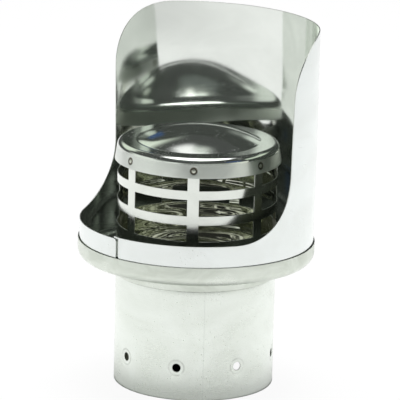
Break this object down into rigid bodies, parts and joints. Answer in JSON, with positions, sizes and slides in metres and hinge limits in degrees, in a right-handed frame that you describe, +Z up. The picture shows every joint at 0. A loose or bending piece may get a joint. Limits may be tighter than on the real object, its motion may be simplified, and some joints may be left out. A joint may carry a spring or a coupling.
{
  "type": "flue terminal",
  "caption": "Round stainless flue terminal: a spigot with screw holes, a drip pan, a slotted cage with a domed cap, and a tall wind hood open in front.",
  "frame": {"origin": "centre of the spigot's lower end", "axes": "+Z up along the flue, the hood's mouth faces -Y, +X to the right when facing the mouth"},
  "size_m": [0.1205, 0.1184, 0.1818],
  "materials": {
    "spigot": "satin rolled stainless sheet",
    "drip_pan": "satin stainless sheet with fine scratches",
    "slotted_cage": "bright stainless sheet",
    "cage_cap": "mirror bright pressed stainless sheet",
    "wind_hood": "mirror bright rolled stainless sheet"
  },
  "bodies": {
    "root": {"spigot": "spigot", "drip_pan": "drip_pan", "slotted_cage": "slotted_cage", "cage_cap": "cage_cap", "wind_hood": "wind_hood"}
  },
  "joints": []
}
